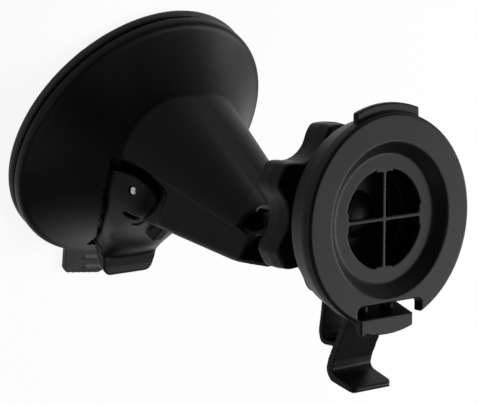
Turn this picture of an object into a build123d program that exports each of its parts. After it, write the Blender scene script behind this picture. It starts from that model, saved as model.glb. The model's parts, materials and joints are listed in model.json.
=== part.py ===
from build123d import *
import os
from math import atan2, cos, degrees, hypot, radians, sin, sqrt, tan

# Windscreen holder for a small navigator: a lever-operated suction cup, a hooded arm,
# a ball joint clamped by a lobed nut, and a round dock with a sprung release latch.
# Frame: the suction face lies on z = 0 and the cup's axis is Z. The arm leans to +Y,
# +X is the dock's right, and the whole holder is symmetrical about X = 0.

os.makedirs("parts", exist_ok=True)

# ---------------------------------------------------------------- driving dimensions, mm
# suction cup and its bell-shaped housing
cup_d = 80.0                # rubber rim and bell foot
pad_rim_t = 2.2             # rubber thickness at the rim
pad_flat_r = 34.5           # the rubber's flat sealing band starts here
pad_core_r = 15.5           # rubber centre that the lever lifts
pad_core_t = 1.9
pad_lift = 3.3              # hollow under the rubber centre when the cup is locked on
tab_w = 17.5                # pull tab on the rim
tab_reach = 10.0
tab_t = 2.0
tab_corner_r = 2.5
tab_ridge_w = 7.0          # two grip ridges across the tab
pad_gap = 0.7               # round the rubber centre
pad_skin = 0.9              # rubber below the post screw's head
insert_r = 12.0             # steel disc on the rubber centre
insert_t = 1.2
post_screw_r = 1.5
post_screw_head_r = 3.5
post_screw_len = 8.0
post_r = 3.5                # draw post
post_flange_r = 6.0
post_flange_t = 1.2
spring_wire = 0.9
spring_r = 4.9
spring_turns = 3
bell_foot_z = 3.5           # the bell's edge stands above the rubber by the groove
bell_side_h = 1.8           # short upright wall at the foot
bell_wall = 3.2
trumpet_low = (38.6, 6.9)   # radius and height on the trumpet curve
trumpet_mid = (26.6, 18.0)
trumpet_top = (20.3, 26.0)
groove_depth = 2.6          # dark groove between the bell's foot and the rubber
ring_w = 3.4                # inner ring that sits on the rubber
pocket_depth = 2.0          # the lever lies in a pocket of the bell
pocket_margin = 1.2

# arm: hood over a web; both taper away from the bell
web_half_low = 19.2         # half width of the web at arm_low_z, and at arm_high_z
web_half_high = 8.0
arm_low_z = 22.0
arm_high_z = 70.0
flange_low_y = 8.4          # lower edge of the hood, at the same two heights
flange_high_y = 14.0
ridge_low_y = 24.7          # top facet of the hood
ridge_high_y = 17.9
under_low_y = -9.9          # underside of the web
under_high_y = 4.0
under_round = 3.0
flange_overhang = 1.8       # the hood stands this far outside the web
facet_half = 2.4            # half width of the facet along the top
bulge_low = 4.7             # flanks arch this far beyond a straight line, at the same heights
bulge_high = 0.4
hood_wall = 1.8
hood_root_z = 12.0          # the hood grows out of the bell from here
hood_cut_z = 62.3           # the flanks end here, the top facet runs on
web_cut_z = 65.5            # the web is cored out beyond this height
spine_half = 3.4            # middle wall of the cored end
core_wall = 2.0             # underside wall of the cored end
end_wall = hood_wall        # the hood's top runs on this thick beyond its flanks
lip_t = 1.7                 # floor plate under the hood, which shows as a lip at its end
lip_bend_z = 66.0
boss_d = 12.0               # boss for the ball stud's shank
boss_start = 16.5           # from the ball's centre
boss_len = 22.0
foot_r = 23.2               # arm core's foot, screwed up into the bell
foot_top_z = 16.5
foot_t = 3.0
core_screw_x = 15.6
core_screw_front = -15.6
core_screw_back = 14.6
boss_h = 5.0                # screw bosses under the bell's wall
screw_pilot_r = 1.2

# ball joint
ball_d = 17.0
ball_y = 32.5
ball_z = 81.05
neck_d = 7.4
shank_d = 6.0
shank_len = 11.0
stud_dir_y = 0.76           # the stud points along +Y by this much of its length
liner_t = 1.5               # ball's surface to the outside of its plastic seats
front_seat_angle = 50.0     # the seats are bands of a sphere, angles from the dock's axis
rear_seat_angles = (97.0, 113.0)
swing_gap = 0.8             # the arm stays this far outside the nut's swept sphere

# clamp nut
nut_tip_r = 22.6
nut_valley_r = 17.0
nut_lobes = 6
nut_scallop_r = 9.0
nut_lobe_round = 2.0
nut_front = 20.0            # distances behind the dock's face
nut_split = 24.0
nut_back = 28.5
nut_draft = 3.0             # degrees, both ways from the parting line
nut_lip_t = 2.2
nut_mouth_r = 12.0
slot_start = 17.0           # the collet is slit from its end up to here

# dock
dock_tilt = 30.0            # degrees, dock axis from the cup's axis
ball_back = 22.0            # ball centre behind the dock's face
dock_d = 55.0
plate_t = 3.0
recess_mouth_r = 19.7
recess_floor_r = 17.0
recess_depth = 2.6
floor_t = 1.6
window_r = 12.9
bar_w = 1.1
bar_tab_w = 5.5
bar_tab_depth = 0.8
hook_r = 29.8
hook_w = 21.4
hook_t = 1.8
hook_set_back = 1.2
notch_half = 11.0
notch_top = 21.4
drum_r = 27.2               # housing behind the plate
drum_back_r = 25.0
drum_back = 10.4
drum_wall = 1.8
drum_flat = 20.6            # the drum is cut flat above the latch
well_r = 12.2               # well in front of the ball
well_depth = 13.4
collet_r = 14.5
collet_slot_w = 1.4
collet_slots = 6
screw_ring_r = 19.6
boss_r = 2.6
screw_d = 2.2
screw_head_d = 4.0
screw_head_t = 1.2

# release latch
leg_half = 6.9
leg_t = 1.8
spring_t = 1.4
head_half = 8.9
head_r = 29.0
head_front = 0.8            # set back from the dock's face
head_depth = 6.7
head_top = 25.1
head_rise = 2.1
leg_slope = 26.6            # degrees from the dock's plane
leg_bottom = 40.2
pad_len = 8.6               # finger pad
pad_t = 1.6
pad_droop = 17.0            # degrees
spring_back = 18.6          # rear face of the spring leg behind the dock's face
spring_top = 15.6
spring_bottom = 34.0
knuckle_r = 0.9             # round bead that the latch turns on
knuckle_back = 15.3
knuckle_drop = 33.5
latch_screw_x = (-4.0, 4.0)
latch_screw_y = 18.2
latch_screw_r = 0.9
latch_head_r = 1.6
latch_head_t = 0.7

# cam lever
pin_y = 2.0
pin_z = 29.5
pin_d = 3.0
pin_half = 17.2
ear_inner = 14.3
ear_back_y = 5.6
ear_corner_z = 32.2
ear_top_y = -1.1
ear_top_z = 34.9
ear_sweep_r = 8.2
ear_room_r = 8.6            # side pockets of the arm core that the ears turn in
ear_room_x = 14.0
ear_outer = 22.8            # the bell is relieved under the ears out to here
side_inner = 16.1           # the lever's sides pass the arm outside this
bridge_r = 15.8             # the lever bridges the arm beyond this radius
lever_gap = 0.9             # lever above the pocket's floor
lever_tip_y = -37.4
lever_lip_y = -32.0
lever_lip_z = 18.5
lip_low_z = 12.0
lip_depth = 5.2             # side walls at the lip
lip_kick = 1.6              # the lip's edge stands up by this much
lever_t = 2.4
cam_r = 5.0
cam_offset = 3.0
cam_lead = 15.0             # degrees past the top when locked
lever_open = 55.0           # degrees
cheek_in = 3.9
cheek_out = 7.3
slot_half = 8.0             # slot in the arm's web for the mechanism
slot_low_z = 22.0
slot_high_z = 46.0
slot_back_y = 13.2
yoke_half = 3.2
yoke_bar = 2.2
yoke_clr = 0.5              # above and below the cam, for its uneven lift

# fits
run_clr = 0.05              # radial, pins and shafts
slide_clr = 0.3             # between moving moulded faces
seat_clr = 0.1              # between fixed moulded parts

# ---------------------------------------------------------------- derived sizes
cup_r = cup_d / 2
ring_out_r = cup_r - groove_depth
ring_in_r = ring_out_r - ring_w
ball_r = ball_d / 2
tilt = radians(dock_tilt)
face_dir = Vector(0, sin(tilt), cos(tilt))
ball_c = Vector(0, ball_y, ball_z)
dock_c = ball_c + face_dir * ball_back
dock = Plane(origin=dock_c, x_dir=(1, 0, 0), z_dir=face_dir)
stud_dir = Vector(0, stud_dir_y, sqrt(1 - stud_dir_y**2))
stud = Plane(origin=ball_c, x_dir=(1, 0, 0), z_dir=-stud_dir)
swing_r = hypot(nut_tip_r, nut_back - ball_back) + swing_gap
seat_r = ball_r + liner_t
pin = Plane(origin=(0, pin_y, pin_z), x_dir=(0, 1, 0), z_dir=(1, 0, 0))


def at_height(low, high, z):
    """Straight taper between the arm's two stated heights."""
    return low + (high - low) * (z - arm_low_z) / (arm_high_z - arm_low_z)


def web_half(z):
    return at_height(web_half_low, web_half_high, z)


def flange_y(z):
    return at_height(flange_low_y, flange_high_y, z)


def ridge_y(z):
    return at_height(ridge_low_y, ridge_high_y, z)


def under_y(z):
    return at_height(under_low_y, under_high_y, z)


def block(x, y, z):
    """Box between pairs of limits."""
    size = (x[1] - x[0], y[1] - y[0], z[1] - z[0])
    return Pos((x[0] + x[1]) / 2, (y[0] + y[1]) / 2, (z[0] + z[1]) / 2) * Box(*size)


def disc(r, low, high, plane=Plane.XY):
    """Cylinder on a plane's axis between two heights."""
    return plane * (Pos(0, 0, (low + high) / 2) * Cylinder(r, high - low))


def across(profile, half):
    """A closed outline of (y, z) points drawn out to +-half along X."""
    return extrude(Plane.YZ * make_face(Polyline(*profile, close=True)), half, both=True)


def save(node, shape):
    export_step(shape, f"parts/{node}.step")


# ---------------------------------------------------------------- bell
def trumpet(inset):
    """Solid of the bell's outside, or the same form moved inwards by inset."""
    low = (trumpet_low[0] - inset * 0.66, trumpet_low[1] - inset * 0.75)
    mid = (trumpet_mid[0] - inset * 0.72, trumpet_mid[1] - inset * 0.69)
    top = (trumpet_top[0] - inset * 0.5, trumpet_top[1] - inset)
    foot_z = bell_foot_z - (1.5 if inset > pocket_depth else 0)
    foot = (cup_r - inset, foot_z)
    outline = Line((0, top[1]), (0, foot_z)) + Line((0, foot_z), foot)
    if inset:
        outline += Line(foot, low)
    else:
        wall_top = (cup_r, bell_foot_z + bell_side_h)
        outline += Line(foot, wall_top)
        outline += ThreePointArc(wall_top, (cup_r - 0.45, wall_top[1] + 1.05), low)
    outline += ThreePointArc(low, mid, top)
    outline += Line(top, (0, top[1]))
    return revolve(Plane.XZ * make_face(outline), Axis.Z)


def hood_section(z, inset):
    """Hood outline on the level z: two bulged flanks up to a narrow top facet."""
    half = web_half(z) + flange_overhang - inset
    edge = flange_y(z)
    base = edge - (3 if inset else 0)
    top = ridge_y(z) - inset
    narrow = facet_half - inset * 0.3
    chord = hypot(half - narrow, top - edge)
    bulge = at_height(bulge_low, bulge_high, z)
    mid_x = (half + narrow) / 2 + bulge * (top - edge) / chord
    mid_y = (edge + top) / 2 + bulge * (half - narrow) / chord
    outline = Line((-half, base), (half, base))
    if inset:
        outline += Line((half, base), (half, edge))
        outline += Line((-half, edge), (-half, base))
    outline += ThreePointArc((half, edge), (mid_x, mid_y), (narrow, top))
    outline += Line((narrow, top), (-narrow, top))
    outline += ThreePointArc((-narrow, top), (-mid_x, mid_y), (-half, edge))
    return Plane.XY.offset(z) * make_face(outline)


def hood(inset):
    return loft([hood_section(hood_root_z, inset), hood_section(arm_high_z + 4, inset)], ruled=True)


def web_section(z, grow=0.0):
    """Web outline on the level z, with rounded underside edges."""
    half = web_half(z) + grow
    low = under_y(z) - grow
    high = flange_y(z) + grow
    box = Polyline((-half, high), (-half, low), (half, low), (half, high), close=True)
    face = make_face(box)
    face = fillet(face.vertices().sort_by(Axis.Y)[:2], under_round)
    return Plane.XY.offset(z) * face


def web(low_z, high_z, grow=0.0):
    return loft([web_section(low_z, grow), web_section(high_z, grow)], ruled=True)


def lever_section(y, half, base, crown, side, shoulder, margin):
    """Lever outline on the plane y: steep sides, rounded shoulders, crowned top."""
    grown = half + margin
    points = [
        (grown, base),
        (side[0] + margin, side[1]),
        (shoulder[0] + margin * 0.7, shoulder[1] + margin * 0.7),
        (0, crown + margin),
    ]
    mirrored = [(-x, z) for x, z in points[-2::-1]]
    outline = Spline(*(points + mirrored))
    outline += Line((-grown, base), (grown, base))
    return Plane.XZ.offset(-y) * make_face(outline)


def lever_form(margin=0.0):
    """Outside of the lever: it swells from the flat lip to the ears beside the arm."""
    stations = [
        (lever_lip_y - margin, 9.4, 8.0, 18.5, (9.5, 14.5), (9.0, 17.9)),
        (-23.0, 13.9, 10.0, 28.2, (12.8, 19.0), (8.6, 26.0)),
        (-13.0, 19.2, 14.0, 33.6, (17.4, 23.5), (12.6, 30.2)),
        (-3.0, 22.2, 18.0, 39.4, (19.6, 26.6), (16.4, 34.4)),
        (ear_back_y + margin, 22.4, 18.0, 40.6, (19.6, 26.6), (16.6, 34.8)),
    ]
    return loft([lever_section(*station, margin) for station in stations])


outer = trumpet(0)
hollow = trumpet(bell_wall)
pocket_floor = trumpet(pocket_depth)
hood_in = hood(hood_wall)
swing = Pos(ball_c) * Sphere(swing_r)
lever_pocket = lever_form(pocket_margin) - pocket_floor
ear_swing = disc(ear_sweep_r + slide_clr, -ear_outer, ear_outer, pin)
ear_swing -= disc(ear_sweep_r + slide_clr, -ear_room_x, ear_room_x, pin)
ear_swing &= block((-30, 30), (-60, flange_y(pin_z) - 0.4), (0, 60))
beyond_hood = block((-30, 30), (-40, 60), (hood_cut_z, 99))
top_band = across([(ridge_low_y - end_wall, arm_low_z), (ridge_high_y - end_wall, arm_high_z),
                   (60, arm_high_z), (60, arm_low_z)], 30)

screw_places = [(sx * core_screw_x, y) for sx in (-1, 1) for y in (core_screw_front, core_screw_back)]
core_bosses = [Pos(x, y, 0) * disc(boss_r, foot_top_z, foot_top_z + boss_h) for x, y in screw_places]

bell = outer + hood(0) - hollow - hood_in
bell += revolve(Plane.XZ * make_face(Polyline(
    (ring_in_r, pad_rim_t), (ring_out_r, pad_rim_t), (ring_out_r, bell_foot_z + 1),
    (ring_in_r, bell_foot_z + 3), close=True)), Axis.Z)
bell += Part() + [boss & outer for boss in core_bosses]
bell -= web(foot_top_z - 4, arm_high_z + 2, seat_clr)
bell -= lever_pocket
bell -= ear_swing & block((-30, 30), (-60, 30), (foot_top_z, 60))
bell -= beyond_hood - top_band
bell -= swing
bell -= Part() + [Pos(x, y, 0) * disc(screw_pilot_r, foot_top_z - 1, foot_top_z + boss_h - 1) for x, y in screw_places]
save("bell_shell", bell)

# ---------------------------------------------------------------- rubber pad
pad_outline = Polyline(
    (pad_core_r + pad_gap, pad_lift), (pad_flat_r, 0), (cup_r, 0), (cup_r - 0.3, pad_rim_t),
    (ring_in_r - 0.5, pad_rim_t), (pad_core_r + pad_gap, pad_lift + pad_core_t), close=True)
pad = revolve(Plane.XZ * make_face(pad_outline), Axis.Z)
tab = block((-tab_w / 2, tab_w / 2), (-cup_r - tab_reach, -cup_r + 3), (0.4, 0.4 + tab_t))
tab = fillet(tab.edges().filter_by(Axis.Z).group_by(Axis.Y)[0], tab_corner_r)
ridges = [block((-tab_ridge_w / 2, tab_ridge_w / 2), (y - 0.5, y + 0.5), (tab_t, tab_t + 1.0))
          for y in (-cup_r - tab_reach * 0.35, -cup_r - tab_reach * 0.7)]
tab -= disc(cup_r - 1, 0, 9)
save("suction_pad", pad + tab + ridges)

core_pad = disc(pad_core_r, pad_lift, pad_lift + pad_core_t)
insert_z = pad_lift + pad_core_t
post_foot_z = insert_z + insert_t
screw_head_z = pad_lift + pad_skin
core_pad -= disc(post_screw_head_r, screw_head_z, insert_z)
save("pad_core", core_pad)
insert = disc(insert_r, insert_z, post_foot_z) - disc(post_screw_r, insert_z - 1, post_foot_z + 1)
save("pad_insert", insert)
post_screw = disc(post_screw_head_r, screw_head_z, insert_z) + disc(post_screw_r, insert_z, insert_z + post_screw_len)
save("post_screw", post_screw)

# ---------------------------------------------------------------- draw post and return spring
cam_rest = radians(90 - cam_lead)
cam_open = radians(90 - cam_lead - lever_open)
cam_y = pin_y + cam_offset * cos(cam_rest)
cam_z = pin_z + cam_offset * sin(cam_rest)
cam_y_open = pin_y + cam_offset * cos(cam_open)
window_y = (cam_y - cam_r - yoke_clr, cam_y_open + cam_r + yoke_clr)
window_z = (cam_z - cam_r - yoke_clr, cam_z + cam_r + yoke_clr)
yoke_y = (window_y[0] - yoke_bar, window_y[1] + yoke_bar)
yoke_z = (window_z[0] - yoke_bar, window_z[1] + yoke_bar)

yoke = fillet(block((-yoke_half, yoke_half), yoke_y, yoke_z).edges().filter_by(Axis.X), yoke_bar)
window = fillet(block((-9, 9), window_y, window_z).edges().filter_by(Axis.X), 1.5)
post = disc(post_r, post_foot_z, yoke_z[0] + 1) + disc(post_flange_r, post_foot_z, post_foot_z + post_flange_t)
post = post + yoke - window
post -= disc(post_screw_r + seat_clr, post_foot_z - 1, insert_z + post_screw_len + 0.5)
save("draw_post", post)

spring_low = post_foot_z + post_flange_t + spring_wire / 2
spring_high = foot_top_z - foot_t - spring_wire / 2
coil = Helix(pitch=(spring_high - spring_low) / spring_turns, height=spring_high - spring_low, radius=spring_r)
wire_end = Plane(origin=coil @ 0, z_dir=coil % 0)
spring = Pos(0, 0, spring_low) * sweep(wire_end * Circle(spring_wire / 2), path=coil)
save("return_spring", spring)

# ---------------------------------------------------------------- arm core
floor_band = across([(flange_low_y, arm_low_z), (flange_high_y, arm_high_z),
                     (flange_high_y + lip_t, arm_high_z), (flange_low_y + lip_t, arm_low_z)], 30)
floor_plate = hood(hood_wall + seat_clr) & floor_band & block((-30, 30), (-40, 60), (arm_low_z, lip_bend_z))
spine = across([(under_y(50), 50), (under_y(74), 74), (ridge_y(74) - end_wall - seat_clr, 74),
                (ridge_y(50) - end_wall - seat_clr, 50)], spine_half)
boss = stud * (Pos(0, 0, boss_start) * Cylinder(boss_d / 2, boss_len, align=(Align.CENTER, Align.CENTER, Align.MIN)))
boss_skin = across([(under_y(50), 50), (under_y(80), 80), (ridge_y(80) - end_wall - seat_clr, 80),
                    (ridge_y(50) - end_wall - seat_clr, 50)], 12)
core_end = across([(under_y(web_cut_z) + core_wall, web_cut_z), (under_y(80) + core_wall, 80),
                   (30, 80), (30, web_cut_z)], 30)
core_end -= across([(under_y(60), 60), (under_y(80), 80), (30, 80), (30, 60)], spine_half)

core = web(foot_top_z - foot_t, arm_high_z + 2) - core_end - swing
core += spine - swing
core += floor_plate
core += boss & boss_skin
core += disc(foot_r, foot_top_z - foot_t, foot_top_z)
ear_room = disc(ear_room_r, -30, 30, pin) - disc(ear_room_r, -ear_room_x, ear_room_x, pin)
core -= ear_room & block((-30, 30), (-60, flange_y(pin_z) - 0.4), (0, 60))
core -= (lever_form(pocket_margin) & block((-30, 30), (-60, -4), (20, 60))) - block((-ear_room_x, ear_room_x), (-60, 60), (0, 90))
core -= block((-slot_half, slot_half), (-60, slot_back_y), (slot_low_z, slot_high_z))
core -= disc(post_r + run_clr, 0, slot_low_z + 1)
core -= disc(pin_d / 2, -30, 30, pin)
core -= stud * (Pos(0, 0, 0) * Cylinder(shank_d / 2, swing_r + shank_len, align=(Align.CENTER, Align.CENTER, Align.MIN)))
core -= Part() + [Pos(x, y, 0) * disc(screw_pilot_r + 0.35, 0, foot_top_z + 0.5) for x, y in screw_places]
save("arm_core", core)

core_screws = Part() + [
    Pos(x, y, 0) * (disc(screw_head_d / 2, foot_top_z - foot_t - screw_head_t, foot_top_z - foot_t)
                    + disc(screw_pilot_r, foot_top_z - foot_t, foot_top_z + boss_h - 2))
    for x, y in screw_places]
save("core_screws", core_screws)

# ---------------------------------------------------------------- cam lever
lever = lever_form() - trumpet(pocket_depth - lever_gap)
hollow_form = Pos(0, 0.6, -lever_t) * lever_form(-lever_t + 0.4)
lever_body = lever - hollow_form
web_room = disc(bridge_r, -side_inner, side_inner, pin)
ear_edge = across([(ear_back_y, 0), (ear_back_y, ear_corner_z), (ear_back_y - 1.2, ear_corner_z + 1.2),
                   (ear_top_y, ear_top_z), (ear_top_y - 2, 60), (60, 60), (60, 0)], 40)
lever_body = lever_body - web_room - ear_edge
lip_points = [(-9.6, lever_lip_y), (-8.4, lever_tip_y), (8.4, lever_tip_y), (9.6, lever_lip_y)]
lip_floor = make_face(Polyline(*lip_points, close=True))
lip_floor = fillet(lip_floor.vertices().group_by(Axis.Y)[0], 3)
lip = extrude(Plane.XY.offset(lip_low_z) * lip_floor, lever_lip_z + lip_kick + 1 - lip_low_z)
lip &= across([(lever_lip_y + 1.5, lever_lip_z - lip_depth), (lever_lip_y - 3, lever_lip_z - lip_depth + 2.4),
               (lever_tip_y, lever_lip_z + lip_kick - 1.6), (lever_tip_y, lever_lip_z + lip_kick),
               (lever_lip_y + 1, lever_lip_z - 0.2)], 30)
ears = (lever & disc(ear_sweep_r, -30, 30, pin)) - ear_edge - disc(ear_sweep_r, -ear_inner, ear_inner, pin)
cheek_outline = Polyline(
    (cam_y + cam_r, cam_z), (cam_y, cam_z + cam_r), (-bridge_r + pin_y - 3, 31.5),
    (-bridge_r + pin_y - 3, 27.4), (pin_y - 4, pin_z - 5), (pin_y + 3, pin_z - 5), close=True)
cheeks = extrude(Plane.YZ * make_face(cheek_outline), cheek_out, both=True)
cheeks -= block((-cheek_in, cheek_in), (-99, 99), (0, 99))
cheeks &= lever + disc(bridge_r + 1, -30, 30, pin)
cam = Pos(0, cam_y, cam_z) * Rot(0, 90, 0) * Cylinder(cam_r, 2 * cheek_in + 1)
lever_body = lever_body + lip + ears + cheeks + cam
lever_body -= disc(pin_d / 2 + run_clr, -40, 40, pin)
save("cam_lever", lever_body)
save("lever_pin", disc(pin_d / 2, -pin_half, pin_half, pin))

# ---------------------------------------------------------------- ball stud and its seats
ball = Sphere(ball_r) + Cylinder(neck_d / 2, boss_start, align=(Align.CENTER, Align.CENTER, Align.MIN))
ball += Cylinder(shank_d / 2, swing_r + shank_len, align=(Align.CENTER, Align.CENTER, Align.MIN))
save("ball_stud", stud * ball)


def cone_band(from_angle, to_angle):
    """Solid between two cones about the dock's axis, angles from the face's direction."""
    reach = 20
    steps = [from_angle + (to_angle - from_angle) * i / 6 for i in range(7)]
    points = [(0, 0)] + [(reach * sin(radians(a)), reach * cos(radians(a))) for a in steps]
    return revolve(Plane.XZ * make_face(Polyline(*points, close=True)), Axis.Z)


ball_plane = Plane(origin=ball_c, x_dir=(1, 0, 0), z_dir=face_dir)
seat_shell = Sphere(seat_r) - Sphere(ball_r + slide_clr)
save("ball_seat_front", ball_plane * (seat_shell & cone_band(0.1, front_seat_angle)))
save("ball_seat_rear", ball_plane * (seat_shell & cone_band(*rear_seat_angles)))

# ---------------------------------------------------------------- socket body
flat_cut = block((-cup_r, cup_r), (-cup_r, -drum_flat), (-spring_back - 1, 1))
flat_wall = Pos(0, drum_wall, 0) * flat_cut


def frustum(front_r, back_r, front, back):
    outline = Polyline((0, -front), (front_r, -front), (back_r, -back), (0, -back), close=True)
    return revolve(Plane.XZ * make_face(outline), Axis.Z)


drum = frustum(drum_r, drum_back_r, plate_t, drum_back)
drum = fillet(drum.edges().group_by(Axis.Z)[0], 1.5) - flat_cut
cavity = frustum(drum_r - drum_wall, drum_back_r - drum_wall, plate_t - 1, drum_back - drum_wall) - flat_wall
collet_end = nut_back - nut_lip_t
collet_tip_r = nut_mouth_r + 0.4
collet = revolve(Plane.XZ * make_face(Polyline(
    (0, -drum_back + 1), (collet_r, -drum_back + 1), (collet_r, -collet_end + collet_r - collet_tip_r),
    (collet_tip_r, -collet_end), (0, -collet_end), close=True)), Axis.Z)
boss_angles = (45, 135, 225, 315)
boss_places = [(screw_ring_r * cos(radians(a)), screw_ring_r * sin(radians(a))) for a in boss_angles]
shelf = block((-leg_half, leg_half), (-drum_flat, -collet_r + 2), (-spring_back + spring_t, -drum_back + 1))
socket = drum - cavity + collet + shelf
socket -= Pos(0, 0, -ball_back) * Sphere(seat_r + slide_clr)
socket -= disc(well_r, -well_depth, -drum_back + drum_wall + 1) - flat_wall
socket -= flat_cut
for i in range(collet_slots):
    slot = block((-collet_slot_w / 2, collet_slot_w / 2), (0, 30), (-40, -slot_start))
    socket -= Rot(0, 0, 30 + 60 * i) * slot
for x, y in boss_places:
    socket -= Pos(x, y, 0) * disc(screw_d / 2 + seat_clr, -drum_back - 1, 0)
for x in latch_screw_x:
    socket -= Pos(x, -latch_screw_y, 0) * disc(latch_screw_r, -spring_back - 1, -spring_back + 8)
save("socket_body", dock * socket)

# ---------------------------------------------------------------- dock plate
plate = disc(dock_d / 2, -plate_t, 0)
plate = chamfer(plate.edges().group_by(Axis.Z)[-1], 0.5)
hook = disc(hook_r, -hook_set_back - hook_t, -hook_set_back)
hook &= block((-hook_w / 2, hook_w / 2), (0, 60), (-9, 9))
hook = fillet(hook.edges().filter_by(Axis.Z).group_by(Axis.Y)[-1], 1.2)
plate += hook
plate += disc(recess_floor_r + 1.6, -recess_depth - floor_t, -plate_t + 0.5)
plate -= frustum(recess_mouth_r, recess_floor_r, 0, recess_depth)
plate -= disc(window_r, -9, 0)
bars = block((-bar_w / 2, bar_w / 2), (-window_r - 1, window_r + 1), (-recess_depth - floor_t, -recess_depth))
bars += Rot(0, 0, 90) * bars
ring = disc(window_r + 1, -recess_depth - floor_t, -recess_depth)
ring -= disc(window_r - bar_tab_depth, -9, 0)
for angle in (0, 90, 180, 270):
    arm = block((0, window_r + 2), (-bar_tab_w / 2, bar_tab_w / 2), (-9, 0))
    bars += ring & (Rot(0, 0, angle) * arm)
plate += bars
plate += Part() + [Pos(x, y, 0) * disc(boss_r, -drum_back + drum_wall, -plate_t + 0.5) for x, y in boss_places]
plate -= block((-notch_half, notch_half), (-60, -notch_top), (-9, 9))
for x, y in boss_places:
    plate -= Pos(x, y, 0) * disc(screw_d / 2, -drum_back, -plate_t + 1)
save("dock_plate", dock * plate)

plate_screws = Part() + [
    Pos(x, y, 0) * (disc(screw_head_d / 2, -drum_back - screw_head_t, -drum_back)
                    + disc(screw_d / 2, -drum_back, -plate_t + 0.5))
    for x, y in boss_places]
save("plate_screws", dock * plate_screws)

# ---------------------------------------------------------------- clamp nut
nut_face = Circle(nut_tip_r)
for i in range(nut_lobes):
    angle = radians(60 + 360 * i / nut_lobes)
    reach = nut_valley_r + nut_scallop_r
    nut_face -= Pos(reach * cos(angle), reach * sin(angle)) * Circle(nut_scallop_r)
nut_face = fillet(nut_face.face().vertices(), nut_lobe_round)
parting = Plane.XY.offset(-nut_split)
nut = extrude(parting * nut_face, nut_split - nut_front, taper=nut_draft)
nut += extrude(parting * nut_face, -(nut_back - nut_split), taper=nut_draft)
thread_r = collet_r + seat_clr
seat_start = collet_end - (collet_r - collet_tip_r) + 0.5
nut_bore = revolve(Plane.XZ * make_face(Polyline(
    (0, 0), (thread_r, 0), (thread_r, -seat_start), (nut_mouth_r, -seat_start - thread_r + nut_mouth_r),
    (nut_mouth_r, -99), (0, -99), close=True)), Axis.Z)
save("clamp_nut", dock * (nut - nut_bore))

# ---------------------------------------------------------------- release latch
side = Plane(origin=(0, 0, 0), x_dir=(0, 0, 1), z_dir=(-1, 0, 0))


def latch_piece(points, half):
    """Extrude an outline given behind the dock's face (c) and along its upright (b)."""
    return extrude(side * make_face(Polyline(*points, close=True)), half, both=True)


leg = latch_piece([
    (-7.5, -23.6), (-8.7, -23.6), (-10.4, -27.1), (-15.7, -37.2), (-16.6, -leg_bottom),
    (-15.7, -42.5), (-13.0, -43.6), (-6.3, -45.2), (-6.0, -44.2), (-6.9, -43.7), (-13.2, -41.7),
    (-14.3, -40.7), (-13.9, -38.2), (-8.3, -27.0)], leg_half)
head = latch_piece([
    (-head_front, -head_top), (-head_front - head_depth, -head_top + head_rise),
    (-8.7, -23.6), (-9.5, -30), (-head_front, -30)], head_half)
head &= disc(head_r, -20, 0)
lugs = block((-6.3, -2.8), (-25, -drum_flat - 0.6), (-6.6, -4.2))
lugs += mirror(lugs, Plane.YZ)
knuckle = Pos(0, -knuckle_drop, -knuckle_back) * Rot(0, 90, 0) * Cylinder(knuckle_r + 1.0, 2 * leg_half)
knuckle_bore = Pos(0, -knuckle_drop, -knuckle_back) * Rot(0, 90, 0) * Cylinder(knuckle_r + run_clr, 30)
knuckle_mouth = block((-20, 20), (-knuckle_drop - 0.95, -knuckle_drop + 0.95), (-knuckle_back - 5, -knuckle_back))
latch = leg + head + lugs + knuckle - knuckle_bore - knuckle_mouth
save("release_latch", dock * latch)

spring_in = -spring_back + spring_t
rear_leg = latch_piece([
    (-spring_back, -spring_top), (-spring_back, -23.5), (-19.1, -26.7), (-19.7, -30.8), (-19.4, -32.6),
    (-18.2, -spring_bottom), (-16.8, -spring_bottom), (-16.4, -knuckle_drop + -0.5), (-knuckle_back, -knuckle_drop - 0.5),
    (-knuckle_back, -knuckle_drop + 0.5), (-17.4, -32.8), (-18.3, -31.0), (-17.7, -26.7),
    (spring_in, -23.5), (spring_in, -spring_top)], leg_half)
rear_leg += Pos(0, -knuckle_drop, -knuckle_back) * Rot(0, 90, 0) * Cylinder(knuckle_r, 2 * leg_half)
for x in latch_screw_x:
    rear_leg -= Pos(x, -latch_screw_y, 0) * disc(latch_screw_r + seat_clr, -30, 0)
save("latch_spring", dock * rear_leg)
latch_screws = Part() + [
    Pos(x, -latch_screw_y, 0) * (disc(latch_head_r, -spring_back - latch_head_t, -spring_back)
                                 + disc(latch_screw_r, -spring_back, -spring_back + 6))
    for x in latch_screw_x]
save("latch_screws", dock * latch_screws)
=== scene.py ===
import bpy, bmesh, json
from math import atan2, cos, hypot, pi, radians, sin, sqrt
from mathutils import Matrix, Vector


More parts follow.
